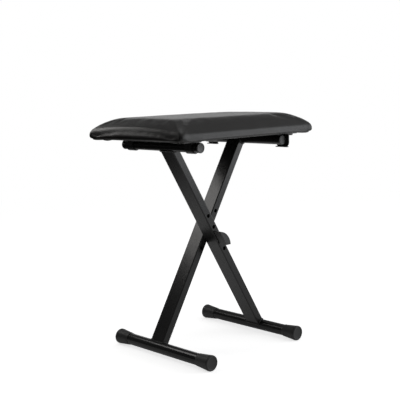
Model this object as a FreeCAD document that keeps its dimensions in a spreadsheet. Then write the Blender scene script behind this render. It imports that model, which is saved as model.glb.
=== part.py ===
import FreeCAD, Part
import Sketcher
import math
import os

# Folding keyboard bench: two crossed legs of rectangular tube on a bolt, a round tube across each end
# of each leg, and an upholstered seat hinged on the left top tube and resting on the right one.
# Frame in millimetres: X along the seat, Y from front to rear, Z up, origin on the floor under the
# middle of the bench.

V = FreeCAD.Vector
doc = FreeCAD.newDocument("keyboard_bench")
sheet = doc.addObject("Spreadsheet::Sheet", "dims")


class Size:
    """A size as a number and as the sheet expression that gives it."""

    def __init__(self, value, text):
        self.value = value
        self.text = text

    def __add__(self, other):
        other = as_size(other)
        return Size(self.value + other.value, f"({self.text} + {other.text})")

    def __sub__(self, other):
        other = as_size(other)
        return Size(self.value - other.value, f"({self.text} - {other.text})")

    def __mul__(self, other):
        other = as_size(other)
        return Size(self.value * other.value, f"({self.text} * {other.text})")

    def __truediv__(self, other):
        other = as_size(other)
        return Size(self.value / other.value, f"({self.text} / {other.text})")

    def __neg__(self):
        return Size(-self.value, f"(0 - {self.text})")


def as_size(number):
    return number if isinstance(number, Size) else Size(float(number), f"{number:g}")


def root(size):
    return Size(math.sqrt(size.value), f"sqrt({size.text})")


def arcsine(size):
    return Size(math.degrees(math.asin(size.value)), f"asin({size.text})")


ZERO = as_size(0)
NEAR = 1e-3
row = 0


def dim(name, number):
    """Writes one driving dimension into the sheet and reads it back."""
    global row
    row += 1
    sheet.set(f"A{row}", name)
    sheet.set(f"B{row}", str(number))
    sheet.setAlias(f"B{row}", name)
    doc.recompute([sheet])
    return Size(float(sheet.get(name)), f"dims.{name}")


# Legs
leg_axis_length = dim("leg_axis_length", 502)
first_hole_distance = dim("first_hole_distance", 180)
hole_pitch = dim("hole_pitch", 30)
hole_count = dim("hole_count", 4)
pitches_to_pivot = dim("pitches_to_pivot", 2)
leg_width = dim("leg_width", 18)
leg_depth = dim("leg_depth", 38)
leg_wall = dim("leg_wall", 1.5)
leg_corner_radius = dim("leg_corner_radius", 2.2)
leg_gap = dim("leg_gap", 1.5)
weld_leg = dim("weld_leg", 2)

# Cross tubes
top_tube_spacing = dim("top_tube_spacing", 248)
foot_tube_diameter = dim("foot_tube_diameter", 25)
top_tube_diameter = dim("top_tube_diameter", 20)
tube_wall = dim("tube_wall", 1.5)
foot_length = dim("foot_length", 289)
top_tube_setback = dim("top_tube_setback", 28)

# Foot caps and end plugs
cap_length = dim("cap_length", 37)
cap_rim_wall = dim("cap_rim_wall", 0.8)
cap_flare = dim("cap_flare", 3.1)
cap_end_thickness = dim("cap_end_thickness", 4)
cap_bead_length = dim("cap_bead_length", 6)
cap_edge_radius = dim("cap_edge_radius", 2.5)
cap_floor_flat_depth = dim("cap_floor_flat_depth", 0.5)
plug_head_length = dim("plug_head_length", 3)
plug_head_overhang = dim("plug_head_overhang", 0.4)
plug_edge_radius = dim("plug_edge_radius", 1)
plug_stem_length = dim("plug_stem_length", 12)

# Pivot
bolt_diameter = dim("bolt_diameter", 8)
bolt_end_beyond_nut = dim("bolt_end_beyond_nut", 1)
bolt_tip_chamfer = dim("bolt_tip_chamfer", 1)
bolt_head_across_flats = dim("bolt_head_across_flats", 10)
bolt_head_height = dim("bolt_head_height", 5.3)
bolt_head_cover = dim("bolt_head_cover", 5)
nut_across_flats = dim("nut_across_flats", 13)
nut_height = dim("nut_height", 6.5)
washer_diameter = dim("washer_diameter", 17)
washer_thickness = dim("washer_thickness", 1.6)
spacer_diameter = dim("spacer_diameter", 17)
knob_flat_offset = dim("knob_flat_offset", 6.6)
knob_reach = dim("knob_reach", 24)
knob_heel_reach = dim("knob_heel_reach", 12.7)
knob_rise = dim("knob_rise", 8.6)
knob_tip_reach = dim("knob_tip_reach", 19.8)
knob_tip_rise = dim("knob_tip_rise", 5.2)
knob_depth = dim("knob_depth", 19.4)
knob_edge_radius = dim("knob_edge_radius", 0.8)

# Clearances
fit_clearance = dim("fit_clearance", 0.1)
running_clearance = dim("running_clearance", 0.3)

# Seat
seat_length = dim("seat_length", 401)
seat_depth = dim("seat_depth", 289)
cushion_height = dim("cushion_height", 44)
band_height = dim("band_height", 18)
band_shoulder_inset = dim("band_shoulder_inset", 2.5)
hem_roll_inset = dim("hem_roll_inset", 7)
hem_roll_height = dim("hem_roll_height", 8)
crown_run = dim("crown_run", 48)
corner_radius = dim("corner_radius", 7)
side_draw = dim("side_draw", 1.5)
skin_thickness = dim("skin_thickness", 1)
hem_width = dim("hem_width", 18)
board_thickness = dim("board_thickness", 12)
board_margin = dim("board_margin", 11)
board_corner_radius = dim("board_corner_radius", 12)
dust_cover_thickness = dim("dust_cover_thickness", 0.6)
dust_cover_margin = dim("dust_cover_margin", 15)
staple_crown = dim("staple_crown", 10)
staple_wire = dim("staple_wire", 0.7)
staple_leg = dim("staple_leg", 6)
staple_pitch = dim("staple_pitch", 42)

# Seat hardware
strap_thickness = dim("strap_thickness", 2)
saddle_pad_thickness = dim("saddle_pad_thickness", 4.6)
saddle_pad_grip = dim("saddle_pad_grip", 5)
saddle_width = dim("saddle_width", 20)
saddle_end_distance = dim("saddle_end_distance", 26)
saddle_half_span = dim("saddle_half_span", 29)
saddle_screw_offset = dim("saddle_screw_offset", 20)
saddle_ear_radius = dim("saddle_ear_radius", 5)
bracket_length = dim("bracket_length", 36)
bracket_tube_gap = dim("bracket_tube_gap", 0.7)
bracket_end_reach = dim("bracket_end_reach", 8)
bracket_hang = dim("bracket_hang", 6)
bracket_flange = dim("bracket_flange", 26)
bracket_corner_radius = dim("bracket_corner_radius", 11)
bracket_lip_reach = dim("bracket_lip_reach", 4)
bracket_lip_length = dim("bracket_lip_length", 32)
bracket_screw_pitch = dim("bracket_screw_pitch", 20)
bend_radius = dim("bend_radius", 1.2)
rest_pad_width = dim("rest_pad_width", 18)
rest_pad_length = dim("rest_pad_length", 24)
rest_pad_corner_radius = dim("rest_pad_corner_radius", 3)
rest_pad_end_distance = dim("rest_pad_end_distance", 18)
screw_diameter = dim("screw_diameter", 6)
screw_head_diameter = dim("screw_head_diameter", 11)
screw_head_height = dim("screw_head_height", 3.5)
screw_head_radius = dim("screw_head_radius", 1.6)
screw_slot_length = dim("screw_slot_length", 5.5)
screw_slot_width = dim("screw_slot_width", 1.6)
screw_slot_depth = dim("screw_slot_depth", 1.8)
screw_length = dim("screw_length", 14)
screw_hole_clearance = dim("screw_hole_clearance", 0.4)
tee_nut_flange_diameter = dim("tee_nut_flange_diameter", 18)
tee_nut_flange_thickness = dim("tee_nut_flange_thickness", 1.5)
tee_nut_barrel_diameter = dim("tee_nut_barrel_diameter", 8)
tee_nut_barrel_length = dim("tee_nut_barrel_length", 8)

# The lean of the legs follows from the seat, which holds the top tubes at their spacing, and from
# the hole that the bolt is in.
foot_tube_radius = foot_tube_diameter / 2
top_tube_radius = top_tube_diameter / 2
top_length = seat_depth - top_tube_setback * 2
arm_above = first_hole_distance + pitches_to_pivot * hole_pitch
arm_below = leg_axis_length - arm_above
lean_sine = top_tube_spacing / 2 / arm_above
lean_cosine = root(as_size(1) - lean_sine * lean_sine)
lean_angle = arcsine(lean_sine)

cap_rim_radius = foot_tube_radius + fit_clearance + cap_rim_wall
cap_radius = cap_rim_radius + cap_flare
foot_axis_height = cap_radius - cap_floor_flat_depth
foot_axis_x = arm_below * lean_sine
pivot_height = foot_axis_height + arm_below * lean_cosine
top_axis_height = pivot_height + arm_above * lean_cosine
top_axis_x = top_tube_spacing / 2

hardware_height = top_tube_radius + saddle_pad_thickness
seat_plane_height = top_axis_height + hardware_height
skin_base = dust_cover_thickness
board_base = skin_base + skin_thickness
board_top = board_base + board_thickness

leg_face = leg_gap / 2 + leg_depth
leg_middle = (leg_gap + leg_depth) / 2
bolt_radius = bolt_diameter / 2
bolt_hole_radius = bolt_radius + running_clearance
screw_hole_radius = screw_diameter / 2 + screw_hole_clearance
saddle_y = top_length / 2 - saddle_end_distance
bracket_y = top_length / 2 + bracket_end_reach - bracket_length / 2
rest_pad_y = top_length / 2 - rest_pad_end_distance
bracket_screw_x = top_tube_radius + bracket_tube_gap + strap_thickness + bracket_flange / 2

# The screws' places on the seat board: two in each saddle and two in each bracket.
saddle_screw_places = [
    (-top_axis_x + saddle_screw_offset * side, saddle_y * end) for side in (-1, 1) for end in (-1, 1)
]
bracket_screw_places = [
    (top_axis_x + bracket_screw_x, bracket_y * end + bracket_screw_pitch / 2 * side)
    for side in (-1, 1)
    for end in (-1, 1)
]

FRONT_TO_REAR = FreeCAD.Rotation(V(1, 0, 0), 90)


def bind(thing, **places):
    """Ties properties of an object to sizes; double underscores stand for the dots in a path."""
    for path, size in places.items():
        thing.setExpression(path.replace("__", "."), as_size(size).text)


def place(thing, x=ZERO, y=ZERO, z=ZERO):
    bind(thing, Placement__Base__x=x, Placement__Base__y=y, Placement__Base__z=z)


def new_body(label):
    thing = doc.addObject("PartDesign::Body", label)
    thing.Label = label
    return thing


def sketch_on(body, role, name, offset=None):
    sketch = body.newObject("Sketcher::SketchObject", name)
    plane = next(feature for feature in body.Origin.OriginFeatures if feature.Role == role)
    sketch.AttachmentSupport = [(plane, "")]
    sketch.MapMode = "FlatFace"
    if offset is not None:
        sketch.setExpression("AttachmentOffset.Base.z", offset.text)
    return sketch


def fix_point(sketch, geometry, point, x, y):
    """Holds one point of a sketch at x, y from the sketch's origin."""
    for kind, axis, size in (("DistanceX", -2, x), ("DistanceY", -1, y)):
        if abs(size.value) < 1e-9:
            sketch.addConstraint(Sketcher.Constraint("PointOnObject", geometry, point, axis))
        else:
            index = sketch.addConstraint(
                Sketcher.Constraint(kind, -1, 1, geometry, point, size.value)
            )
            name = f"{kind.lower()}_{geometry}_{point}"
            sketch.renameConstraint(index, name)
            sketch.setExpression(f"Constraints.{name}", size.text)


def fix_radius(sketch, geometry, radius):
    index = sketch.addConstraint(Sketcher.Constraint("Radius", geometry, radius.value))
    name = f"radius_{geometry}"
    sketch.renameConstraint(index, name)
    sketch.setExpression(f"Constraints.{name}", radius.text)


def draw_circles(sketch, circles):
    for x, y, radius in circles:
        circle = Part.Circle(V(x.value, y.value, 0), V(0, 0, 1), radius.value)
        geometry = sketch.addGeometry(circle, False)
        fix_point(sketch, geometry, 3, x, y)
        fix_radius(sketch, geometry, radius)


def draw_profile(sketch, corners, lower_arcs=()):
    """A closed outline; an edge in lower_arcs is a half circle below the origin with that radius."""
    lower_arcs = dict(lower_arcs)
    ends = []
    for edge, (start, end) in enumerate(zip(corners, corners[1:] + corners[:1])):
        if edge in lower_arcs:
            radius = lower_arcs[edge]
            arc = Part.ArcOfCircle(Part.Circle(V(0, 0, 0), V(0, 0, 1), radius.value), math.pi, 2 * math.pi)
            geometry = sketch.addGeometry(arc, False)
            left_to_right = start[0].value < end[0].value
            ends.append((geometry, 1, 2) if left_to_right else (geometry, 2, 1))
        else:
            line = Part.LineSegment(V(start[0].value, start[1].value, 0), V(end[0].value, end[1].value, 0))
            geometry = sketch.addGeometry(line, False)
            ends.append((geometry, 1, 2))
    for edge, (geometry, _, last) in enumerate(ends):
        following, first, _ = ends[(edge + 1) % len(ends)]
        sketch.addConstraint(Sketcher.Constraint("Coincident", geometry, last, following, first))
    for edge, (geometry, first, _) in enumerate(ends):
        fix_point(sketch, geometry, first, *corners[edge])
    for edge in lower_arcs:
        sketch.addConstraint(Sketcher.Constraint("PointOnObject", ends[edge][0], 3, -1))


def draw_rectangle(sketch, half_x, half_y, centre_y=ZERO):
    low = centre_y - half_y
    high = centre_y + half_y
    draw_profile(sketch, [(-half_x, low), (half_x, low), (half_x, high), (-half_x, high)])


def pad(body, sketch, length, symmetric=False):
    feature = body.newObject("PartDesign::Pad", sketch.Name + "_pad")
    feature.Profile = sketch
    feature.SideType = "Symmetric" if symmetric else "One side"
    bind(feature, Length=length)
    doc.recompute()
    return feature


def pocket_through(body, sketch):
    """Cuts a sketch right through, both ways, and makes sure that it removed something."""
    before = body.Tip.Shape.Volume
    feature = body.newObject("PartDesign::Pocket", sketch.Name + "_pocket")
    feature.Profile = sketch
    feature.Type = "ThroughAll"
    feature.SideType = "Symmetric"
    doc.recompute()
    if not feature.Shape.Volume < before - 1e-6:
        raise RuntimeError(f"{feature.Name} removed nothing")
    return feature


def round_edges(body, name, radius, choose):
    """Rounds the edges of the body's tip that choose picks."""
    tip = body.Tip
    names = [f"Edge{number}" for number, edge in enumerate(tip.Shape.Edges, 1) if choose(edge)]
    if not names:
        raise RuntimeError(f"{name} found no edge")
    feature = body.newObject("PartDesign::Fillet", name)
    feature.Base = (tip, names)
    bind(feature, Radius=radius)
    doc.recompute()
    return feature


def runs_along(edge, axis):
    """Whether an edge is straight and parallel to one axis of its body."""
    if not isinstance(edge.Curve, Part.Line):
        return False
    return abs(edge.Curve.Direction.dot(axis)) > 0.999


def cylinder(name, radius, height, z=ZERO):
    thing = doc.addObject("Part::Cylinder", name)
    bind(thing, Radius=radius, Height=height)
    place(thing, z=z)
    return thing


def block(name, length, width, height, x, y, z):
    thing = doc.addObject("Part::Box", name)
    bind(thing, Length=length, Width=width, Height=height)
    place(thing, x, y, z)
    return thing


def combine(kind, name, base, tool):
    thing = doc.addObject(f"Part::{kind}", name)
    thing.Base = base
    thing.Tool = tool
    doc.recompute()
    return thing


def round_part(name, base, radius, choose):
    """Rounds the edges of a primitive or boolean that choose picks."""
    doc.recompute()
    thing = doc.addObject("Part::Fillet", name)
    thing.Base = base
    picked = [number for number, edge in enumerate(base.Shape.Edges, 1) if choose(edge)]
    thing.Edges = [(number, radius.value, radius.value) for number in picked]
    doc.recompute()
    return thing


def feature_from(label, shape):
    thing = doc.addObject("Part::Feature", label)
    thing.Label = label
    thing.Shape = shape
    return thing


# Legs: rectangular tube with its narrow faces to the front and rear. Each runs along its own Z with
# the pivot at its origin, is fish-mouthed round its two cross tubes and leans to one side.


def make_leg(label, lean_axis, y):
    body = new_body(label)
    outline = sketch_on(body, "XY_Plane", label + "_outline", -arm_below)
    draw_rectangle(outline, leg_width / 2, leg_depth / 2)
    pad(body, outline, leg_axis_length)
    round_edges(body, label + "_corners", leg_corner_radius, lambda edge: runs_along(edge, V(0, 0, 1)))
    inner = sketch_on(body, "XY_Plane", label + "_inner")
    inner_x = leg_width / 2 - leg_wall
    inner_y = leg_depth / 2 - leg_wall
    draw_rectangle(inner, inner_x, inner_y)
    pocket_through(body, inner)

    first_hole = sketch_on(body, "XZ_Plane", label + "_first_hole")
    draw_circles(first_hole, [(ZERO, arm_above - first_hole_distance, bolt_hole_radius)])
    drilled = pocket_through(body, first_hole)
    holes = body.newObject("PartDesign::LinearPattern", label + "_holes")
    holes.Originals = [drilled]
    holes.Direction = (first_hole, ["V_Axis"])
    holes.Reversed = True
    bind(holes, Length=(hole_count - 1) * hole_pitch, Occurrences=hole_count)
    body.Tip = holes
    doc.recompute()

    mouths = sketch_on(body, "XZ_Plane", label + "_mouths")
    draw_circles(
        mouths,
        [
            (ZERO, arm_above, top_tube_radius + fit_clearance),
            (ZERO, -arm_below, foot_tube_radius + fit_clearance),
        ],
    )
    pocket_through(body, mouths)
    body.Placement = FreeCAD.Placement(V(0, 0, 0), FreeCAD.Rotation(lean_axis, lean_angle.value))
    place(body, y=y, z=pivot_height)
    bind(body, Placement__Rotation__Angle=lean_angle)
    return body


front_leg = make_leg("front_leg_tube", V(0, -1, 0), -leg_middle)
rear_leg = make_leg("rear_leg_tube", V(0, 1, 0), leg_middle)


# Cross tubes: plain round tube, welded across the legs' ends.


def make_cross_tube(label, radius, length, x, z):
    body = new_body(label)
    ring = sketch_on(body, "XZ_Plane", label + "_ring")
    draw_circles(ring, [(ZERO, ZERO, radius), (ZERO, ZERO, radius - tube_wall)])
    pad(body, ring, length, symmetric=True)
    place(body, x=x, z=z)
    return body


foot_tube_length = foot_length - cap_end_thickness * 2
top_tube_length = top_length - plug_head_length * 2
make_cross_tube("foot_tube_right", foot_tube_radius, foot_tube_length, foot_axis_x, foot_axis_height)
make_cross_tube("foot_tube_left", foot_tube_radius, foot_tube_length, -foot_axis_x, foot_axis_height)
make_cross_tube("top_tube_left", top_tube_radius, top_tube_length, -top_axis_x, top_axis_height)
make_cross_tube("top_tube_right", top_tube_radius, top_tube_length, top_axis_x, top_axis_height)


# Welds: a bead all round each leg's end, in the corner between the leg and the cross tube.


def weld_bead(tube_radius, z, above):
    """The bead in the leg's own frame; above says that the tube is at the leg's upper end."""
    gap = fit_clearance.value / 2
    bead = weld_leg.value
    reach = tube_radius + bead
    half_x = leg_width.value / 2
    half_y = leg_depth.value / 2
    side = -1 if above else 1
    low = z + side * (reach if above else bead / 2)
    high = z + side * (bead / 2 if above else reach)

    def prism(grow, bottom, top):
        wide = half_x + grow
        deep = half_y + grow
        solid = Part.makeBox(2 * wide, 2 * deep, top - bottom, V(-wide, -deep, bottom))
        upright = [edge for edge in solid.Edges if abs(edge.tangentAt(0).z) > 0.9]
        return solid.makeFillet(leg_corner_radius.value + grow, upright)

    def rod(radius):
        length = 2 * (half_y + bead + reach)
        return Part.makeCylinder(radius, length, V(0, -length / 2, z), V(0, 1, 0))

    ring = prism(bead, low, high).common(rod(reach))
    hollow = prism(gap, low - reach, high + reach)
    return ring.cut(rod(tube_radius + gap)).cut(hollow)


for label, leg in (("front_leg_welds", front_leg), ("rear_leg_welds", rear_leg)):
    beads = Part.makeCompound(
        [
            weld_bead(top_tube_radius.value, arm_above.value, True),
            weld_bead(foot_tube_radius.value, -arm_below.value, False),
        ]
    )
    welds = feature_from(label, beads)
    doc.recompute()
    welds.Placement = leg.Placement


# Foot caps: rubber sleeves, wider towards a flat outer end, and flat where they stand on the floor.


def make_foot_cap(label, x, end):
    flare_length = cap_length - cap_bead_length
    flare = doc.addObject("Part::Cone", label + "_flare")
    bind(flare, Radius1=cap_rim_radius, Radius2=cap_radius, Height=flare_length)
    bead = cylinder(label + "_bead", cap_radius, cap_bead_length, flare_length)
    outside = combine("Fuse", label + "_outside", flare, bead)
    outer_z = cap_length.value
    rounded = round_part(
        label + "_rounded",
        outside,
        cap_edge_radius,
        lambda edge: abs(edge.CenterOfMass.z - outer_z) < NEAR and isinstance(edge.Curve, Part.Circle),
    )
    bore = cylinder(label + "_bore", foot_tube_radius + fit_clearance, cap_length - cap_end_thickness)
    sleeve = combine("Cut", label + "_sleeve", rounded, bore)
    turn = 90 if end < 0 else -90
    sleeve.Placement = FreeCAD.Placement(V(0, 0, 0), FreeCAD.Rotation(V(1, 0, 0), turn))
    place(sleeve, x, (foot_length / 2 - cap_length) * end, foot_axis_height)
    beside = cap_radius * 2
    floor = block(
        label + "_floor", beside * 2, foot_length * 2, cap_radius, x - beside, -foot_length, -cap_radius
    )
    cap = combine("Cut", label, sleeve, floor)
    cap.Label = label
    return cap


for side, x in (("right", foot_axis_x), ("left", -foot_axis_x)):
    make_foot_cap(f"foot_cap_{side}_front", x, -1)
    make_foot_cap(f"foot_cap_{side}_rear", x, 1)


# End plugs: a round-edged plastic disc on a stem pushed into the top tube.


def make_top_plug(label, x, end):
    stem = cylinder(label + "_stem", top_tube_radius - tube_wall - fit_clearance, plug_stem_length)
    head_radius = top_tube_radius + plug_head_overhang
    head = cylinder(label + "_head", head_radius, plug_head_length, plug_stem_length)
    whole = combine("Fuse", label + "_whole", stem, head)
    outer_z = (plug_stem_length + plug_head_length).value
    plug = round_part(
        label,
        whole,
        plug_edge_radius,
        lambda edge: abs(edge.CenterOfMass.z - outer_z) < NEAR and isinstance(edge.Curve, Part.Circle),
    )
    plug.Label = label
    turn = 90 if end < 0 else -90
    plug.Placement = FreeCAD.Placement(V(0, 0, 0), FreeCAD.Rotation(V(1, 0, 0), turn))
    place(plug, x, (top_length / 2 - plug_stem_length - plug_head_length) * end, top_axis_height)
    return plug


for side, x in (("left", -top_axis_x), ("right", top_axis_x)):
    make_top_plug(f"top_plug_{side}_front", x, -1)
    make_top_plug(f"top_plug_{side}_rear", x, 1)


# Pivot: the bolt runs from the front through both legs into a nut on the rear leg.


def make_washer(label, diameter, thickness, y):
    disc = cylinder(label + "_disc", diameter / 2, thickness)
    hole = cylinder(label + "_hole", bolt_hole_radius, thickness)
    washer = combine("Cut", label, disc, hole)
    washer.Label = label
    washer.Placement = FreeCAD.Placement(V(0, 0, 0), FRONT_TO_REAR)
    place(washer, y=y, z=pivot_height)
    return washer


knob_washer_rear = -leg_face - fit_clearance
knob_rear = knob_washer_rear - washer_thickness
make_washer("leg_spacer_washer", spacer_diameter, leg_gap - fit_clearance * 2, leg_gap / 2 - fit_clearance)
make_washer("knob_washer", washer_diameter, washer_thickness, knob_washer_rear)


def hexagon(name, across_flats, height, z):
    thing = doc.addObject("Part::Prism", name)
    thing.Polygon = 6
    thing.Placement = FreeCAD.Placement(V(0, 0, 0), FreeCAD.Rotation(V(0, 0, 1), 30))
    bind(thing, Circumradius=across_flats / root(as_size(3)), Height=height)
    place(thing, z=z)
    return thing


# In the bolt's own frame Z points to the front, and zero is the rear face of the knob.
shank_length = bolt_end_beyond_nut + leg_face - leg_wall - knob_rear
head_base = knob_depth - bolt_head_cover - bolt_head_height
shank = cylinder("bolt_shank", bolt_radius, shank_length + head_base, -shank_length)
shank_tip_z = -shank_length.value
pointed_shank = doc.addObject("Part::Chamfer", "bolt_pointed_shank")
pointed_shank.Base = shank
doc.recompute()
tip_edges = [
    number
    for number, edge in enumerate(shank.Shape.Edges, 1)
    if isinstance(edge.Curve, Part.Circle) and abs(edge.CenterOfMass.z - shank_tip_z) < NEAR
]
pointed_shank.Edges = [(number, bolt_tip_chamfer.value, bolt_tip_chamfer.value) for number in tip_edges]
bolt_head = hexagon("bolt_head", bolt_head_across_flats, bolt_head_height, head_base)
pivot_bolt = combine("Fuse", "pivot_bolt", pointed_shank, bolt_head)
pivot_bolt.Label = "pivot_bolt"
along_front_leg = FreeCAD.Rotation(V(0, 1, 0), -lean_angle.value) * FRONT_TO_REAR
pivot_bolt.Placement = FreeCAD.Placement(V(0, 0, 0), along_front_leg)
place(pivot_bolt, y=knob_rear, z=pivot_height)

# Knob: a half-moon moulded over the bolt's head, with its flat side along the front leg and a short
# heel at its lower end. The bolt is nearer to the heel than to the upper corner.
knob_corner = V(-knob_flat_offset.value, knob_reach.value, 0)
knob_heel = V(-knob_flat_offset.value, -knob_heel_reach.value, 0)
knob_tip = V(knob_tip_rise.value, -knob_tip_reach.value, 0)
knob_arc = Part.Arc(knob_corner, V(knob_rise.value, 0, 0), knob_tip).toShape()
knob_outline = Part.Wire(
    [knob_arc, Part.makeLine(knob_tip, knob_heel), Part.makeLine(knob_heel, knob_corner)]
)
half_moon = feature_from("knob_half_moon", Part.Face(knob_outline).extrude(V(0, 0, knob_depth.value)))
knob_body = round_part("knob_body", half_moon, knob_edge_radius, lambda edge: True)
shank_socket = cylinder("knob_shank_socket", bolt_radius + fit_clearance / 2, head_base)
socket_across_flats = bolt_head_across_flats + fit_clearance
head_socket = hexagon("knob_head_socket", socket_across_flats, bolt_head_height, head_base)
knob_with_bore = combine("Cut", "knob_with_bore", knob_body, shank_socket)
pivot_knob = combine("Cut", "pivot_knob", knob_with_bore, head_socket)
pivot_knob.Label = "pivot_knob"
pivot_knob.Placement = FreeCAD.Placement(V(0, 0, 0), along_front_leg)
place(pivot_knob, y=knob_rear, z=pivot_height)

# Weld nuts: one at each hole of the rear leg, inside its rear wall, so that the bolt can go in any.
nut_corner_radius = nut_across_flats.value / math.sqrt(3)
nut_seat = V(0, leg_depth.value / 2 - leg_wall.value - nut_height.value, 0)
first_corner = V(0, 0, nut_corner_radius)
sixth_turns = [FreeCAD.Rotation(V(0, 1, 0), 60 * corner) for corner in range(7)]
nut_outline = Part.makePolygon([nut_seat + turn.multVec(first_corner) for turn in sixth_turns])
nuts = []
for number in range(int(hole_count.value)):
    z = arm_above.value - first_hole_distance.value - number * hole_pitch.value
    nut = Part.Face(nut_outline).extrude(V(0, nut_height.value, 0))
    nut = nut.cut(Part.makeCylinder(bolt_hole_radius.value, nut_height.value, nut_seat, V(0, 1, 0)))
    nut.translate(V(0, 0, z))
    nuts.append(nut)
weld_nuts = feature_from("weld_nuts", Part.makeCompound(nuts))
weld_nuts.Placement = rear_leg.Placement


# Seat parts below are drawn from the seat plane, the face that the brackets are screwed against.

seat_board = new_body("seat_board")
board_outline = sketch_on(seat_board, "XY_Plane", "board_outline", board_base)
draw_rectangle(board_outline, seat_length / 2 - board_margin, seat_depth / 2 - board_margin)
pad(seat_board, board_outline, board_thickness)
round_edges(seat_board, "board_corners", board_corner_radius, lambda edge: runs_along(edge, V(0, 0, 1)))
screw_places = saddle_screw_places + bracket_screw_places
barrel_holes = sketch_on(seat_board, "XY_Plane", "board_barrel_holes")
draw_circles(barrel_holes, [(x, y, tee_nut_barrel_diameter / 2 + fit_clearance) for x, y in screw_places])
pocket_through(seat_board, barrel_holes)
flange_seats = sketch_on(seat_board, "XY_Plane", "board_flange_seats", board_top)
draw_circles(flange_seats, [(x, y, tee_nut_flange_diameter / 2 + fit_clearance) for x, y in screw_places])
before = seat_board.Tip.Shape.Volume
recess = seat_board.newObject("PartDesign::Pocket", "board_recess")
recess.Profile = flange_seats
bind(recess, Length=tee_nut_flange_thickness)
doc.recompute()
if not recess.Shape.Volume < before - 1e-6:
    raise RuntimeError("the tee nuts' recesses removed nothing")
place(seat_board, z=seat_plane_height)


# Cushion: a hem rolled under as a quarter round, a near-upright band all round, a shoulder that falls
# from the crown as a parabola, and sides drawn in a little between the corners. Corners grow rounder
# by a share of the inset. The shares of height are where the outlines of the form are drawn.
CORNER_GROWTH = 0.6
BAND_LEAN = 0.3
HEM_SHARES = (0, 0.12, 0.3, 0.6, 1)
SHOULDER_SHARES = (0, 0.17, 0.35, 0.53, 0.7, 0.84, 0.94, 0.985, 1)


def cushion_outline(inset, z):
    """One closed outline of shallow side arcs and quarter-round corners, at height z."""
    half_x = seat_length.value / 2 - inset
    half_y = seat_depth.value / 2 - inset
    radius = corner_radius.value + inset * CORNER_GROWTH
    draw = side_draw.value
    straight_x = half_x - radius
    straight_y = half_y - radius
    diagonal = radius * (1 - math.sqrt(0.5))
    edges = []
    for turn in range(4):
        along, across = (half_x, half_y) if turn % 2 == 0 else (half_y, half_x)
        reach = straight_x if turn % 2 == 0 else straight_y
        side = Part.Arc(V(-reach, -across, z), V(0, -across + draw, z), V(reach, -across, z))
        corner = Part.Arc(
            V(reach, -across, z),
            V(along - diagonal, -across + diagonal, z),
            V(along, -across + radius, z),
        )
        quarter = FreeCAD.Rotation(V(0, 0, 1), 90 * turn)
        for arc in (side, corner):
            edge = arc.toShape()
            edge.Placement = FreeCAD.Placement(V(0, 0, 0), quarter)
            edges.append(edge)
    return Part.Wire(Part.__sortEdges__(edges))


def cushion_solid(skin):
    """The cushion's form, or the form inside a skin of the given thickness."""
    base = skin_base.value + skin
    crown = skin_base.value + cushion_height.value - skin
    band_top = skin_base.value + band_height.value
    roll = hem_roll_inset.value
    roll_height = hem_roll_height.value
    outlines = []
    for share in HEM_SHARES:
        inset = roll * (1 - math.sqrt(1 - (1 - share) ** 2))
        outlines.append((inset, base + share * (roll_height - skin)))
    outlines.append((band_shoulder_inset.value * BAND_LEAN, (base + roll_height + band_top) / 2))
    for share in SHOULDER_SHARES:
        inset = band_shoulder_inset.value + crown_run.value * (1 - math.sqrt(1 - share))
        outlines.append((inset, band_top + share * (crown - band_top)))
    wires = [cushion_outline(inset + skin, z) for inset, z in outlines]
    return Part.makeLoft(wires, True, True)


def centred_box(half_x, half_y, bottom, height):
    return Part.makeBox(2 * half_x, 2 * half_y, height, V(-half_x, -half_y, bottom))


board_half_x = seat_length.value / 2 - board_margin.value
board_half_y = seat_depth.value / 2 - board_margin.value
board_space = centred_box(board_half_x, board_half_y, board_base.value, board_thickness.value)
board_uprights = [edge for edge in board_space.Edges if abs(edge.tangentAt(0).z) > 0.9]
board_space = board_space.makeFillet(board_corner_radius.value, board_uprights)
hem_inset = hem_roll_inset.value + hem_width.value
window = centred_box(
    seat_length.value / 2 - hem_inset,
    seat_depth.value / 2 - hem_inset,
    skin_base.value - skin_thickness.value,
    3 * skin_thickness.value,
)
inside = cushion_solid(skin_thickness.value)
on_seat_plane = FreeCAD.Placement(V(0, 0, seat_plane_height.value), FreeCAD.Rotation())
seat_foam = feature_from("seat_foam", inside.cut(board_space))
seat_foam.Placement = on_seat_plane
seat_cover = feature_from("seat_cover", cushion_solid(0).cut(inside).cut(window))
seat_cover.Placement = on_seat_plane

# Dust cover: thin cloth stapled over the skin's turned-under hem, with holes for the screws.
dust_cover = new_body("dust_cover")
cloth = sketch_on(dust_cover, "XY_Plane", "dust_cover_outline")
draw_rectangle(cloth, seat_length / 2 - dust_cover_margin, seat_depth / 2 - dust_cover_margin)
draw_circles(cloth, [(x, y, screw_hole_radius) for x, y in screw_places])
pad(dust_cover, cloth, dust_cover_thickness)
place(dust_cover, z=seat_plane_height)

# Staples: a row along each side, through the dust cover and the hem into the board.
staple_line = (dust_cover_margin.value + hem_roll_inset.value + hem_width.value) / 2
staples = []


def staple(x, y, turned):
    wire = staple_wire.value
    crown_half = staple_crown.value / 2
    bar = Part.makeBox(2 * crown_half, wire, wire, V(-crown_half, -wire / 2, -wire))
    legs = [
        Part.makeBox(wire, wire, staple_leg.value, V(start, -wire / 2, 0))
        for start in (-crown_half, crown_half - wire)
    ]
    solid = bar.fuse(legs).removeSplitter()
    solid.rotate(V(0, 0, 0), V(0, 0, 1), 90 if turned else 0)
    solid.translate(V(x, y, 0))
    return solid


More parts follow.
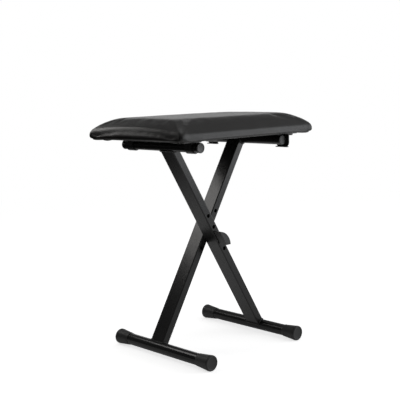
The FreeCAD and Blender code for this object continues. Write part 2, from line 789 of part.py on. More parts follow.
for half_along, half_across, turned in (
    (seat_length.value / 2, seat_depth.value / 2, False),
    (seat_depth.value / 2, seat_length.value / 2, True),
):
    row_half = half_along - staple_line - staple_crown.value
    count = max(2, int(2 * row_half / staple_pitch.value) + 1)
    for number in range(count):
        along = -row_half + 2 * row_half * number / (count - 1)
        for side in (-1, 1):
            across = side * (half_across - staple_line)
            staples.append(staple(across, along, True) if turned else staple(along, across, False))
cover_staples = feature_from("cover_staples", Part.makeCompound(staples))
cover_staples.Placement = on_seat_plane


# Seat hardware is drawn round the axis of its top tube.


def make_saddle(label, y):
    body = new_body(label)
    inner = top_tube_radius + running_clearance
    outer = inner + strap_thickness
    top = hardware_height
    under = hardware_height - strap_thickness
    strap = sketch_on(body, "XZ_Plane", label + "_strap")
    draw_profile(
        strap,
        [
            (-saddle_half_span, top),
            (-inner, top),
            (-inner, ZERO),
            (inner, ZERO),
            (inner, top),
            (saddle_half_span, top),
            (saddle_half_span, under),
            (outer, under),
            (outer, ZERO),
            (-outer, ZERO),
            (-outer, under),
            (-saddle_half_span, under),
        ],
        [(2, inner), (8, outer)],
    )
    pad(body, strap, saddle_width, symmetric=True)
    bend_x = outer.value
    bend_z = under.value
    round_edges(
        body,
        label + "_bends",
        bend_radius,
        lambda edge: runs_along(edge, V(0, 1, 0))
        and abs(abs(edge.CenterOfMass.x) - bend_x) < NEAR
        and abs(edge.CenterOfMass.z - bend_z) < NEAR,
    )
    end_x = saddle_half_span.value
    round_edges(
        body,
        label + "_ears",
        saddle_ear_radius,
        lambda edge: runs_along(edge, V(0, 0, 1)) and abs(abs(edge.CenterOfMass.x) - end_x) < NEAR,
    )
    holes = sketch_on(body, "XY_Plane", label + "_screw_holes")
    draw_circles(holes, [(saddle_screw_offset * side, ZERO, screw_hole_radius) for side in (-1, 1)])
    pocket_through(body, holes)
    place(body, -top_axis_x, y, top_axis_height)
    return body


def make_saddle_pad(label, y):
    half_x = top_tube_radius + running_clearance - fit_clearance
    height = hardware_height - saddle_pad_grip
    front = -saddle_width / 2
    slab = block(label + "_slab", half_x * 2, saddle_width, height, -half_x, front, saddle_pad_grip)
    groove_radius = top_tube_radius + running_clearance
    groove = cylinder(label + "_groove", groove_radius, saddle_width * 2, -saddle_width)
    groove.Placement = FreeCAD.Placement(V(0, 0, 0), FRONT_TO_REAR)
    place(groove, y=saddle_width)
    thing = combine("Cut", label, slab, groove)
    thing.Label = label
    place(thing, -top_axis_x, y, top_axis_height)
    return thing


def make_bracket(label, y):
    body = new_body(label)
    near = top_tube_radius + bracket_tube_gap
    far = near + strap_thickness
    reach = far + bracket_flange
    top = hardware_height
    under = hardware_height - strap_thickness
    foot = -(top_tube_radius + bracket_hang)
    angle = sketch_on(body, "XZ_Plane", label + "_angle")
    hanging = [(near, top), (near, foot), (far, foot), (far, under)]
    draw_profile(angle, hanging + [(reach, under), (reach, top)])
    pad(body, angle, bracket_length, symmetric=True)
    bend_x = far.value
    bend_z = under.value
    round_edges(
        body,
        label + "_bend",
        bend_radius,
        lambda edge: runs_along(edge, V(0, 1, 0))
        and abs(edge.CenterOfMass.x - bend_x) < NEAR
        and abs(edge.CenterOfMass.z - bend_z) < NEAR,
    )
    foot_z = foot.value
    round_edges(
        body,
        label + "_lower_corners",
        bracket_corner_radius,
        lambda edge: runs_along(edge, V(1, 0, 0)) and abs(edge.CenterOfMass.z - foot_z) < NEAR,
    )
    lip = sketch_on(body, "XZ_Plane", label + "_lip")
    tip = near - bracket_lip_reach
    lip_top = foot + strap_thickness
    draw_profile(lip, [(tip, foot), (far, foot), (far, lip_top), (tip, lip_top)])
    pad(body, lip, bracket_lip_length, symmetric=True)
    holes = sketch_on(body, "XY_Plane", label + "_screw_holes")
    hole_y = bracket_screw_pitch / 2
    draw_circles(holes, [(bracket_screw_x, hole_y * side, screw_hole_radius) for side in (-1, 1)])
    pocket_through(body, holes)
    place(body, top_axis_x, y, top_axis_height)
    return body


def make_rest_pad(label, y):
    body = new_body(label)
    outline = sketch_on(body, "XY_Plane", label + "_outline", top_tube_radius + running_clearance)
    draw_rectangle(outline, rest_pad_width / 2, rest_pad_length / 2)
    pad(body, outline, saddle_pad_thickness - running_clearance)
    round_edges(body, label + "_corners", rest_pad_corner_radius, lambda edge: runs_along(edge, V(0, 0, 1)))
    place(body, top_axis_x, y, top_axis_height)
    return body


for end, side in (("front", -1), ("rear", 1)):
    make_saddle(f"hinge_saddle_{end}", saddle_y * side)
    make_saddle_pad(f"saddle_pad_{end}", saddle_y * side)
    make_bracket(f"rest_bracket_{end}", bracket_y * side)
    make_rest_pad(f"rest_pad_{end}", rest_pad_y * side)


# Screws and tee nuts: pan-head machine screws from below into flanged nuts let into the board.


def screw(x, y):
    top = -strap_thickness.value
    low = top - screw_head_height.value
    head = Part.makeCylinder(screw_head_diameter.value / 2, screw_head_height.value, V(0, 0, low))
    rim = [edge for edge in head.Edges if abs(edge.CenterOfMass.z - low) < NEAR and edge.Closed]
    head = head.makeFillet(screw_head_radius.value, rim)
    length = screw_slot_length.value
    width = screw_slot_width.value
    for along, across in ((length, width), (width, length)):
        corner = V(-along / 2, -across / 2, low)
        head = head.cut(Part.makeBox(along, across, screw_slot_depth.value, corner))
    shaft = Part.makeCylinder(screw_diameter.value / 2, screw_length.value, V(0, 0, top))
    solid = head.fuse(shaft).removeSplitter()
    solid.translate(V(x.value, y.value, 0))
    return solid


def tee_nut(x, y):
    top = board_top.value
    flange_height = tee_nut_flange_thickness.value
    barrel_height = tee_nut_barrel_length.value
    barrel_end = V(0, 0, top - barrel_height)
    flange_radius = tee_nut_flange_diameter.value / 2
    flange = Part.makeCylinder(flange_radius, flange_height, V(0, 0, top - flange_height))
    barrel = Part.makeCylinder(tee_nut_barrel_diameter.value / 2, barrel_height, barrel_end)
    bore = Part.makeCylinder(screw_diameter.value / 2 + fit_clearance.value, barrel_height, barrel_end)
    solid = flange.fuse(barrel).removeSplitter().cut(bore)
    solid.translate(V(x.value, y.value, 0))
    return solid


for label, make, places in (
    ("saddle_screws", screw, saddle_screw_places),
    ("bracket_screws", screw, bracket_screw_places),
    ("tee_nuts", tee_nut, screw_places),
):
    group = feature_from(label, Part.makeCompound([make(x, y) for x, y in places]))
    group.Placement = on_seat_plane


NODES = (
    "front_leg_tube",
    "foot_tube_right",
    "top_tube_left",
    "front_leg_welds",
    "foot_cap_right_front",
    "foot_cap_right_rear",
    "top_plug_left_front",
    "top_plug_left_rear",
    "leg_spacer_washer",
    "rear_leg_tube",
    "foot_tube_left",
    "top_tube_right",
    "rear_leg_welds",
    "foot_cap_left_front",
    "foot_cap_left_rear",
    "top_plug_right_front",
    "top_plug_right_rear",
    "weld_nuts",
    "knob_washer",
    "pivot_bolt",
    "pivot_knob",
    "seat_board",
    "seat_foam",
    "seat_cover",
    "dust_cover",
    "cover_staples",
    "tee_nuts",
    "hinge_saddle_front",
    "hinge_saddle_rear",
    "saddle_pad_front",
    "saddle_pad_rear",
    "saddle_screws",
    "rest_bracket_front",
    "rest_bracket_rear",
    "rest_pad_front",
    "rest_pad_rear",
    "bracket_screws",
)

doc.recompute()
for thing in doc.Objects:
    if {"Invalid", "Error"} & set(thing.State):
        raise RuntimeError(f"{thing.Name} is {thing.State}")
shapes = {}
for label in NODES:
    shape = doc.getObjectsByLabel(label)[0].Shape
    if shape.isNull() or not shape.isValid() or not shape.Solids:
        raise RuntimeError(f"{label} is not a valid solid")
    shapes[label] = shape

os.makedirs("parts", exist_ok=True)
for label, shape in shapes.items():
    shape.exportStep(f"parts/{label}.step")
    box = shape.BoundBox
    print(
        f"{label:22s} {len(shape.Solids):3d} solids {shape.Volume:12.1f} mm3"
        f"  x {box.XMin:7.1f} {box.XMax:7.1f}  y {box.YMin:7.1f} {box.YMax:7.1f}"
        f"  z {box.ZMin:6.1f} {box.ZMax:6.1f}"
    )
print(
    f"lean {lean_angle.value:.3f} deg, pivot height {pivot_height.value:.2f}, "
    f"top tube height {top_axis_height.value:.2f}, foot axis x {foot_axis_x.value:.2f}"
)
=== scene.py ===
import math

import bmesh
import bpy
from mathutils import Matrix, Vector, noise
from mathutils.bvhtree import BVHTree


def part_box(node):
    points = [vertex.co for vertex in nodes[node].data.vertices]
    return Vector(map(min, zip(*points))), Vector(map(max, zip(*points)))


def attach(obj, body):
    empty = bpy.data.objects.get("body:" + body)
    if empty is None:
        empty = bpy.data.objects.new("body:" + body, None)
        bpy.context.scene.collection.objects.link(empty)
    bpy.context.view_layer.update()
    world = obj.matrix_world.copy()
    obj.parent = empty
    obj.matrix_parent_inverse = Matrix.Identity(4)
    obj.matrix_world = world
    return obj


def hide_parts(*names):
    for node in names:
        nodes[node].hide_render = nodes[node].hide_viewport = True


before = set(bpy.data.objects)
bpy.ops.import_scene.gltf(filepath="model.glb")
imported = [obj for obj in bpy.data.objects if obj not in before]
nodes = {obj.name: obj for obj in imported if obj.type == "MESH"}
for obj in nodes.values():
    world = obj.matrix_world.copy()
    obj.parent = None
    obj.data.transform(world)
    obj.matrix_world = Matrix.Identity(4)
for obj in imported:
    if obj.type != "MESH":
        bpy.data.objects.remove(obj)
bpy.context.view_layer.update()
mm = 0.001

# Legs: two lengths of rectangular steel tube side by side, drilled for the pivot bolt and cut round
# the cross tubes at their ends. They are finished in black powder coat, which dries with a satin skin
# of shallow orange peel.


class Wire:
    """One output of a shader node; sums and products of wires and numbers add Math nodes."""

    def __init__(self, finish, socket):
        self.finish = finish
        self.socket = socket

    def reckon(self, operation, first, second):
        return self.finish.node("ShaderNodeMath", {"operation": operation}, {0: first, 1: second})

    def __add__(self, other):
        return self.reckon("ADD", self, other)

    def __sub__(self, other):
        return self.reckon("SUBTRACT", self, other)

    def __rsub__(self, other):
        return self.reckon("SUBTRACT", other, self)

    def __mul__(self, other):
        return self.reckon("MULTIPLY", self, other)

    __radd__ = __add__
    __rmul__ = __mul__


class Finish:
    """The nodes of one material, or of the world."""

    def __init__(self, owner):
        owner.use_nodes = True
        self.owner = owner
        self.tree = owner.node_tree

    def node(self, kind, settings=None, sockets=None, output=0):
        made = self.tree.nodes.new(kind)
        for name, value in (settings or {}).items():
            setattr(made, name, value)
        for name, value in (sockets or {}).items():
            self.join(value, made.inputs[name])
        return Wire(self, made.outputs[output])

    def join(self, value, socket):
        if isinstance(value, Wire):
            self.tree.links.new(value.socket, socket)
        else:
            socket.default_value = value

    def spot(self):
        """The place on the object, in metres."""
        return self.node("ShaderNodeTexCoord", output="Object")

    def mottle(self, scale, detail=2.0, spot=None):
        """Random cloud, 0 to 1, with this many blobs to a metre."""
        sockets = {"Vector": spot or self.spot(), "Scale": scale, "Detail": detail}
        return self.node("ShaderNodeTexNoise", None, sockets)

    def step(self, value, low, high):
        """Nothing below low, all above high, and smooth between."""
        sockets = {"Value": value, "From Min": low, "From Max": high}
        return self.node("ShaderNodeMapRange", {"interpolation_type": "SMOOTHSTEP"}, sockets)

    def tint(self, share, first, second):
        """A colour that goes from the first to the second as share grows."""
        return self.node("ShaderNodeMix", {"data_type": "RGBA"}, {0: share, 6: first, 7: second}, 2)

    def relief(self, height, depth):
        """A Normal for heights of 0 to 1 that stand depth metres proud."""
        return self.node("ShaderNodeBump", None, {"Height": height, "Distance": depth, "Strength": 1.0})

    def surface(self, sockets):
        shader = self.tree.nodes["Principled BSDF"]
        for name, value in sockets.items():
            self.join(value, shader.inputs[name])
        return self.owner


def new_finish(name):
    return Finish(bpy.data.materials.new(name))


def grey(value, warmth=0.0):
    """A colour of one brightness, a little warmer or cooler."""
    return (value * (1 + warmth), value, value * (1 - warmth), 1.0)


def wear(material, *names):
    """Gives nodes of the frame their finish."""
    for name in names:
        for slot in nodes[name].material_slots:
            slot.material = material


def powder_coat(name, roughness, peel_depth):
    finish = new_finish(name)
    cloud = finish.mottle(14, 3)
    peel = finish.mottle(620, 2)
    fleck = finish.step(finish.mottle(1500, 1), 0.68, 0.78)
    base = finish.tint(cloud, grey(0.0070), grey(0.0115, 0.02))
    return finish.surface(
        {
            "Base Color": finish.tint(fleck * 0.35, base, grey(0.03)),
            "Roughness": roughness + (cloud - 0.5) * 0.10 + fleck * 0.08,
            "Specular IOR Level": 0.39,
            "Normal": finish.relief(peel, peel_depth),
        }
    )


satin_black = powder_coat("satin_powder_coat", 0.27, 0.00006)
wear(satin_black, "front_leg_tube", "rear_leg_tube", "weld_nuts")


# Welds: each leg's end is welded all round to its cross tube. The bead shows the ripples of the weld
# pool and lies under the same powder coat as the leg.
leg_width = 18 * mm
leg_corner = 3 * mm
bead_radius = 1.8 * mm
bead_sink = 0.5 * mm
ripple_pitch = 2.3 * mm
ripple_share = 0.12
bead_steps = (24, 64, 10)
bead_sides = 10
smooth_below = math.radians(40)


def skin(name, rings, endless=False):
    """A closed mesh over rings of points, with a face over each end ring unless it is endless."""
    count = len(rings[0])
    spans = len(rings) if endless else len(rings) - 1
    faces = []
    for here in range(spans):
        there = (here + 1) % len(rings)
        for step in range(count):
            after = (step + 1) % count
            near, far = here * count, there * count
            faces.append((near + step, near + after, far + after, far + step))
    if not endless:
        faces.append(tuple(range(count)))
        faces.append(tuple(range(spans * count, (spans + 1) * count)))
    mesh = bpy.data.meshes.new(name)
    mesh.from_pydata([tuple(point) for ring in rings for point in ring], [], faces)
    work = bmesh.new()
    work.from_mesh(mesh)
    bmesh.ops.recalc_face_normals(work, faces=work.faces)
    work.to_mesh(mesh)
    work.free()
    mesh.shade_smooth()
    mesh.set_sharp_from_angle(angle=smooth_below)
    piece = bpy.data.objects.new(name, mesh)
    bpy.context.scene.collection.objects.link(piece)
    return piece


def dress(piece, body, material):
    """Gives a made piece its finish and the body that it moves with."""
    piece.data.materials.append(material)
    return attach(piece, body)


def middle(name):
    low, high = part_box(name)
    return (low + high) / 2


def around_rectangle(half_u, half_v, radius, steps):
    """Points along a rectangle with round corners; steps counts them on each side and on a bend."""
    points = []
    for turn in range(4):
        along, across = (half_u, half_v) if turn % 2 == 0 else (half_v, half_u)
        reach = along - radius
        side = [Vector((-reach, -across)), Vector((reach, -across))]
        count = steps[turn % 2]
        run = [side[0].lerp(side[1], number / count) for number in range(count)]
        count = steps[2]
        bend = [math.pi / 2 * number / count for number in range(count)]
        centre = Vector((reach, -across + radius))
        run += [centre + radius * Vector((math.sin(angle), -math.cos(angle))) for angle in bend]
        cosine, sine = ((1, 0), (0, 1), (-1, 0), (0, -1))[turn]
        for point in run:
            points.append(Vector((point.x * cosine - point.y * sine, point.x * sine + point.y * cosine)))
    return points


def weld_ring(leg, tube, other_tube):
    """The rings of one bead, in the corner between a leg and the tube across its end."""
    centre = middle(tube)
    low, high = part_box(tube)
    tube_radius = (high.x - low.x) / 2
    down_leg = (middle(other_tube) - centre).normalized()
    across = Vector((down_leg.z, 0, -down_leg.x))
    leg_low, leg_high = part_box(leg)
    half_depth = (leg_high.y - leg_low.y) / 2
    centre.y = (leg_low.y + leg_high.y) / 2
    outset = bead_radius - bead_sink
    sides = (leg_width / 2 + outset / 2, half_depth + outset / 2)
    walk = around_rectangle(*sides, leg_corner + outset / 2, bead_steps)
    line = []
    for u, v in walk:
        drop = math.sqrt(max(0, (tube_radius + outset / 2) ** 2 - u * u))
        line.append(centre + across * u + Vector((0, v, 0)) + down_leg * drop)
    rings = []
    travelled = 0
    for number, point in enumerate(line):
        ahead = line[(number + 1) % len(line)]
        forward = (ahead - line[number - 1]).normalized()
        side = forward.cross(down_leg).normalized()
        up = side.cross(forward)
        swell = 1 + ripple_share * math.sin(2 * math.pi * travelled / ripple_pitch)
        ring = []
        for step in range(bead_sides):
            turn = 2 * math.pi * step / bead_sides
            ring.append(point + bead_radius * swell * (side * math.cos(turn) + up * math.sin(turn)))
        rings.append(ring)
        travelled += (ahead - point).length
    return rings


for leg, top_tube, foot_tube in (
    ("front_leg", "top_tube_left", "foot_tube_right"),
    ("rear_leg", "top_tube_right", "foot_tube_left"),
):
    upper = skin(f"{leg}_upper_bead", weld_ring(f"{leg}_tube", top_tube, foot_tube), endless=True)
    lower = skin(f"{leg}_lower_bead", weld_ring(f"{leg}_tube", foot_tube, top_tube), endless=True)
    for bead in (upper, lower):
        dress(bead, leg, satin_black)
        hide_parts(f"{leg}_welds")


# Cross tubes: plain round steel tube, 25 mm at the floor and 20 mm under the seat, in a glossier black
# than the legs, so that they carry long streaks of light.


def gloss_black(name):
    finish = new_finish(name)
    cloud = finish.mottle(11, 2)
    wave = finish.mottle(120, 1)
    return finish.surface(
        {
            "Base Color": finish.tint(cloud, grey(0.006), grey(0.009)),
            "Roughness": 0.20 + cloud * 0.08,
            "Specular IOR Level": 0.28,
            "Coat Weight": 0.05 + cloud * 0.08,
            "Coat Roughness": 0.10,
            "Normal": finish.relief(wave, 0.00005),
        }
    )


tube_black = gloss_black("gloss_tube_paint")
wear(tube_black, "foot_tube_left", "foot_tube_right", "top_tube_left", "top_tube_right")


# Foot caps: black rubber sleeves pushed over the foot tubes' ends. Each flares from a thin mouth to a
# thick rim, is dished in the middle of its end and is worn flat where it stands.
cap_steps = 72
cap_profile = [
    (0.4, 33.0),
    (12.65, 33.0),
    (12.65, 0.3),
    (12.9, 0.0),
    (13.25, 0.1),
    (13.4, 0.5),
    (13.55, 3.0),
    (14.15, 10.0),
    (14.9, 18.0),
    (15.65, 25.5),
    (16.1, 29.5),
    (16.4, 31.5),
    (16.5, 33.0),
    (16.45, 34.6),
    (16.1, 35.9),
    (15.4, 36.7),
    (14.5, 37.0),
    (13.7, 36.95),
    (13.2, 36.6),
    (12.7, 36.1),
    (12.1, 35.9),
    (4.0, 35.7),
    (0.4, 35.7),
]


def moulded_rubber(name):
    finish = new_finish(name)
    cloud = finish.mottle(40, 3)
    grain = finish.mottle(2600, 2)
    return finish.surface(
        {
            "Base Color": finish.tint(cloud, grey(0.010), grey(0.016)),
            "Roughness": 0.44 + cloud * 0.12,
            "Normal": finish.relief(grain, 0.00003),
        }
    )


def lathe(name, profile, steps, mouth, outward, floor=None):
    """A turned piece along Y from its mouth, with its profile as radius and distance in millimetres."""
    rings = []
    for radius, along in profile:
        ring = []
        for step in range(steps):
            angle = 2 * math.pi * step / steps
            height = mouth.z + radius * mm * math.sin(angle)
            if floor is not None:
                height = max(height, floor)
            ring.append(
                Vector((mouth.x + radius * mm * math.cos(angle), mouth.y + outward * along * mm, height))
            )
        rings.append(ring)
    return skin(name, rings)


cap_rubber = moulded_rubber("cap_rubber")
for side, leg in (("left", "rear_leg"), ("right", "front_leg")):
    for end, outward in (("front", -1), ("rear", 1)):
        node = f"foot_cap_{side}_{end}"
        low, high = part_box(node)
        mouth = Vector((middle(node).x, high.y if outward < 0 else low.y, middle(f"foot_tube_{side}").z))
        cap = lathe(f"rubber_cap_{side}_{end}", cap_profile, cap_steps, mouth, outward, floor=0.0)
        dress(cap, leg, cap_rubber)
        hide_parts(node)


# Top tube plugs: black plastic discs on a ribbed stem, pushed into the ends of the top tubes. The
# moulding leaves a soft edge and a shallow dish.
plug_steps = 56
plug_profile = [
    (0.4, 0.0),
    (7.9, 0.0),
    (8.3, 0.6),
    (8.3, 12.0),
    (9.9, 12.0),
    (10.25, 12.25),
    (10.4, 12.7),
    (10.4, 13.8),
    (10.2, 14.5),
    (9.7, 14.9),
    (9.2, 15.0),
    (8.3, 15.0),
    (7.8, 14.8),
    (7.4, 14.7),
    (0.4, 14.6),
]


def moulded_plastic(name, base, roughness):
    finish = new_finish(name)
    cloud = finish.mottle(60, 2)
    grain = finish.mottle(3200, 2)
    return finish.surface(
        {
            "Base Color": finish.tint(cloud, grey(base * 0.85), grey(base * 1.15)),
            "Roughness": roughness + (cloud - 0.5) * 0.1,
            "Normal": finish.relief(grain, 0.000025),
        }
    )


plug_plastic = moulded_plastic("plug_plastic", 0.030, 0.36)
for side, leg in (("left", "front_leg"), ("right", "rear_leg")):
    for end, outward in (("front", -1), ("rear", 1)):
        node = f"top_plug_{side}_{end}"
        low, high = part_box(node)
        mouth = middle(node)
        mouth.y = high.y if outward < 0 else low.y
        plug = lathe(f"end_plug_{side}_{end}", plug_profile, plug_steps, mouth, outward)
        dress(plug, leg, plug_plastic)
        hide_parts(node)


# Pivot: an M8 bolt in black zinc through both legs into a nut welded inside the rear one, with a washer
# under the knob and a nylon washer between the legs. The half-moon knob is moulded over its head.
thread_pitch = 1.25 * mm


def plated_steel(name, base, roughness, pitch=None):
    finish = new_finish(name)
    cloud = finish.mottle(90, 3)
    fine = finish.mottle(1400, 2)
    height = fine * 0.2
    if pitch:
        turns = finish.node("ShaderNodeSeparateXYZ", None, {0: finish.spot()}, "Y") * (2 * math.pi / pitch)
        height = height + finish.node("ShaderNodeMath", {"operation": "SINE"}, {0: turns}) * 0.5
    return finish.surface(
        {
            "Base Color": finish.tint(cloud, grey(base * 0.75), grey(base * 1.25, 0.03)),
            "Metallic": 1.0,
            "Roughness": roughness + (cloud - 0.5) * 0.2,
            "Normal": finish.relief(height, 0.00025 if pitch else 0.00005),
        }
    )


black_zinc = plated_steel("black_zinc", 0.10, 0.34)
bright_zinc = plated_steel("bright_zinc", 0.58, 0.30)
wear(plated_steel("threaded_black_zinc", 0.10, 0.32, thread_pitch), "pivot_bolt")
wear(black_zinc, "knob_washer", "saddle_screws", "bracket_screws")
nylon = moulded_plastic("black_nylon", 0.030, 0.45)
wear(nylon, "leg_spacer_washer", "saddle_pad_front", "saddle_pad_rear")
wear(moulded_plastic("knob_plastic", 0.022, 0.40), "pivot_knob")


# Seat board: 12 mm plywood under the foam, with the plies showing at its edge, and flanged tee nuts of
# bright zinc let into its top for the screws of the brackets.
ply_pitch = 2.4 * mm


def plywood(name):
    finish = new_finish(name)
    spot = finish.spot()
    height = finish.node("ShaderNodeSeparateXYZ", None, {0: spot}, "Z")
    layers = finish.node("ShaderNodeMath", {"operation": "SINE"}, {0: height * (math.pi / ply_pitch)})
    stretched = finish.node("ShaderNodeMapping", None, {"Vector": spot, "Scale": (8.0, 160.0, 60.0)})
    grain = finish.mottle(1.0, 5, stretched)
    wood = finish.tint(grain, (0.50, 0.32, 0.17, 1), (0.72, 0.53, 0.33, 1))
    return finish.surface(
        {
            "Base Color": finish.tint(finish.step(layers, -0.2, 0.2) * 0.35, wood, (0.33, 0.2, 0.11, 1)),
            "Roughness": 0.6 + grain * 0.2,
            "Normal": finish.relief(grain, 0.0001),
        }
    )


wear(plywood("raw_plywood"), "seat_board")
wear(bright_zinc, "tee_nuts", "cover_staples")


# Cushion: foam under black grained vinyl, pulled down over the board's edge. It has a near-upright
# band all round, a long shoulder and a flat crown, and the skin is taut enough to show soft waves.
cover_low, cover_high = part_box("seat_cover")
band_height = 18 * mm
band_inset = 1.2 * mm
crown_run = 48 * mm
crown_curve = 2.4
hem_roll_inset = 5 * mm
hem_roll_height = 6 * mm
corner_radius = 7 * mm
corner_growth = 0.8
side_draw = 1.5 * mm
end_rise = 11 * mm
swell = 1.6 * mm
swell_limit = 2.4 * mm
outline_steps = (64, 46, 6)
crown_steps = 12
voxel = 4.5 * mm
cloth_frames = 20
held_height = 1.5 * mm
set_back = 3 * mm
wave_depth = 0.35 * mm
wave_length = 38 * mm
wave_start = 4 * mm
half_length = (cover_high.x - cover_low.x) / 2
half_width = (cover_high.y - cover_low.y) / 2
base_height = cover_low.z


def cushion_ring(inset, height, steps):
    """One outline of the cushion: sides drawn in, and the band of each end higher in its middle."""
    radius = corner_radius + inset * corner_growth
    band_top = base_height + band_height
    below = (height - base_height) / band_height
    above = (cover_high.z - height) / (cover_high.z - band_top)
    rise = end_rise * max(0.0, min(below, above))
    walk = around_rectangle(half_length - inset, half_width - inset, radius, steps)
    ring = []
    for u, v in walk:
        share_u = min(1, abs(u) / (half_length - inset))
        share_v = min(1, abs(v) / (half_width - inset))
        lift = 0.0
        if share_v > share_u:
            v -= math.copysign(side_draw * (1 - share_u**2), v)
        else:
            u -= math.copysign(side_draw * (1 - share_v**2), u)
            lift = rise * (1 - share_v**2)
        ring.append(Vector((u, v, height + lift)))
    return ring


def cushion_form(shrink):
    """The rings of the cushion from its underside to its crown, made smaller by shrink all over."""
    crown_height = cover_high.z - shrink
    band_top = base_height + band_height - shrink / 2
    rings = []
    for share in (0, 0.1, 0.3, 0.6, 1):
        inset = hem_roll_inset * (1 - math.sqrt(1 - (1 - share) ** 2))
        rings.append((inset, base_height + share * hem_roll_height))
    rings.append((band_inset * 0.3, base_height + (hem_roll_height + band_height) / 2))
    for step in range(crown_steps + 1):
        share = math.sin(math.pi / 2 * step / crown_steps)
        inset = band_inset + crown_run * (1 - (1 - share) ** (1 / crown_curve))
        rings.append((inset, band_top + share * (crown_height - band_top)))
    return [cushion_ring(inset + shrink, height, outline_steps) for inset, height in rings]


def modify(piece, kind, **settings):
    """Adds a modifier and applies it."""
    modifier = piece.modifiers.new(kind.lower(), kind)
    for name, value in settings.items():
        setattr(modifier, name, value)
    bpy.context.view_layer.objects.active = piece
    bpy.ops.object.modifier_apply(modifier=modifier.name)


def inflate(piece):
    """Blows the skin up as cloth held at its underside, and keeps each point near where it began."""
    held = piece.vertex_groups.new(name="held")
    under = [v.index for v in piece.data.vertices if v.co.z < base_height + held_height]
    held.add(under, 1.0, "REPLACE")
    start = [v.co.copy() for v in piece.data.vertices]
    cloth = piece.modifiers.new("cloth", "CLOTH")
    cloth.settings.quality = 6
    cloth.settings.mass = 0.3
    cloth.settings.tension_stiffness = 20
    cloth.settings.compression_stiffness = 20
    cloth.settings.shear_stiffness = 8
    cloth.settings.bending_stiffness = 1.5
    cloth.settings.use_pressure = True
    cloth.settings.uniform_pressure_force = 4
    cloth.settings.vertex_group_mass = "held"
    cloth.settings.effector_weights.gravity = 0
    cloth.point_cache.frame_start = 1
    cloth.point_cache.frame_end = cloth_frames
    for number in range(1, cloth_frames + 1):
        bpy.context.scene.frame_set(number)
    shown = piece.evaluated_get(bpy.context.evaluated_depsgraph_get())
    blown = [v.co.copy() for v in shown.data.vertices]
    piece.modifiers.remove(cloth)
    bpy.context.scene.frame_set(1)
    for vertex, before, after in zip(piece.data.vertices, start, blown):
        move = after - before
        if move.length > swell_limit:
            move *= swell_limit / move.length
        vertex.co = before + move


def fit_to_board(piece):
    """Draws the skin out to its full size again, a little to the rear of the frame's middle."""
    places = [v.co for v in piece.data.vertices]
    spans = [max(abs(place[axis]) for place in places) for axis in range(2)]
    top = max(place.z for place in places) - base_height
    for vertex in piece.data.vertices:
        place = vertex.co
        vertex.co = (
            place.x * half_length / spans[0],
            place.y * half_width / spans[1] + set_back,
            base_height + (place.z - base_height) * (cover_high.z - base_height) / top,
        )


def grained_vinyl(name):
    finish = new_finish(name)
    spot = finish.spot()
    cloud = finish.mottle(16, 3)
    drift = finish.node("ShaderNodeTexNoise", None, {"Vector": spot, "Scale": 260.0}, "Color")
    warped = finish.node(
        "ShaderNodeVectorMath",
        {"operation": "MULTIPLY_ADD"},
        {0: drift, 1: (0.0012, 0.0012, 0.0012), 2: spot},
    )
    cells = finish.node(
        "ShaderNodeTexVoronoi", {"feature": "DISTANCE_TO_EDGE"}, {"Vector": warped, "Scale": 620.0}
    )
    pebble = finish.step(cells, 0.0, 0.28)
    pores = finish.mottle(2400, 2)
    return finish.surface(
        {
            "Base Color": finish.tint(cloud, grey(0.0045, 0.08), grey(0.0070, 0.12)),
            "Roughness": 0.29 + cloud * 0.06 + (1 - pebble) * 0.10,
            "Specular IOR Level": 0.45,
            "Normal": finish.relief(pebble * 0.8 + pores * 0.2, 0.00005),
        }
    )


vinyl = grained_vinyl("black_vinyl")
cushion = skin("seat_cushion", cushion_form(swell))
modify(cushion, "REMESH", mode="VOXEL", voxel_size=voxel)
inflate(cushion)
modify(cushion, "SUBSURF", levels=1)
fit_to_board(cushion)
outward_ways = [vertex.normal.copy() for vertex in cushion.data.vertices]
for vertex, outward in zip(cushion.data.vertices, outward_ways):
    lift = min(1, max(0, (vertex.co.z - base_height) / wave_start))
    wave = noise.noise(vertex.co / wave_length) * wave_depth
    moved = vertex.co + outward * wave * lift
    moved.z = max(moved.z, base_height)
    vertex.co = moved
cushion.data.shade_smooth()
dress(cushion, "seat", vinyl)
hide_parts("seat_cover", "seat_foam")


# Corner pleats: at each corner the vinyl of the long side is folded over that of the short side and
# pulled under, which leaves one crisp upright edge and a fold that runs out on the shoulder.
pleat_rows = 22
pleat_columns = 12
pleat_rise = 15 * mm
pleat_reach = 8 * mm
pleat_edge = 2.0 * mm
pleat_depth = 1.0 * mm
pleat_root = 0.8 * mm
pleat_foot = 1.5 * mm
pleat_sink = 0.1 * mm
ray_run = 20 * mm
cushion_skin = BVHTree.FromPolygons(
    [v.co for v in cushion.data.vertices], [tuple(p.vertices) for p in cushion.data.polygons]
)


def round_the_corner(travel):
    """Place on the band's outline at a distance past the corner's middle."""
    bend = corner_radius * math.pi / 4
    bent = max(-bend, min(bend, travel))
    angle = math.pi / 4 + bent / corner_radius
    outward = Vector((math.sin(angle), math.cos(angle)))
    centre = Vector((half_length - corner_radius, half_width - corner_radius))
    along = Vector((outward.y, -outward.x))
    return centre + outward * corner_radius + along * (travel - bent)


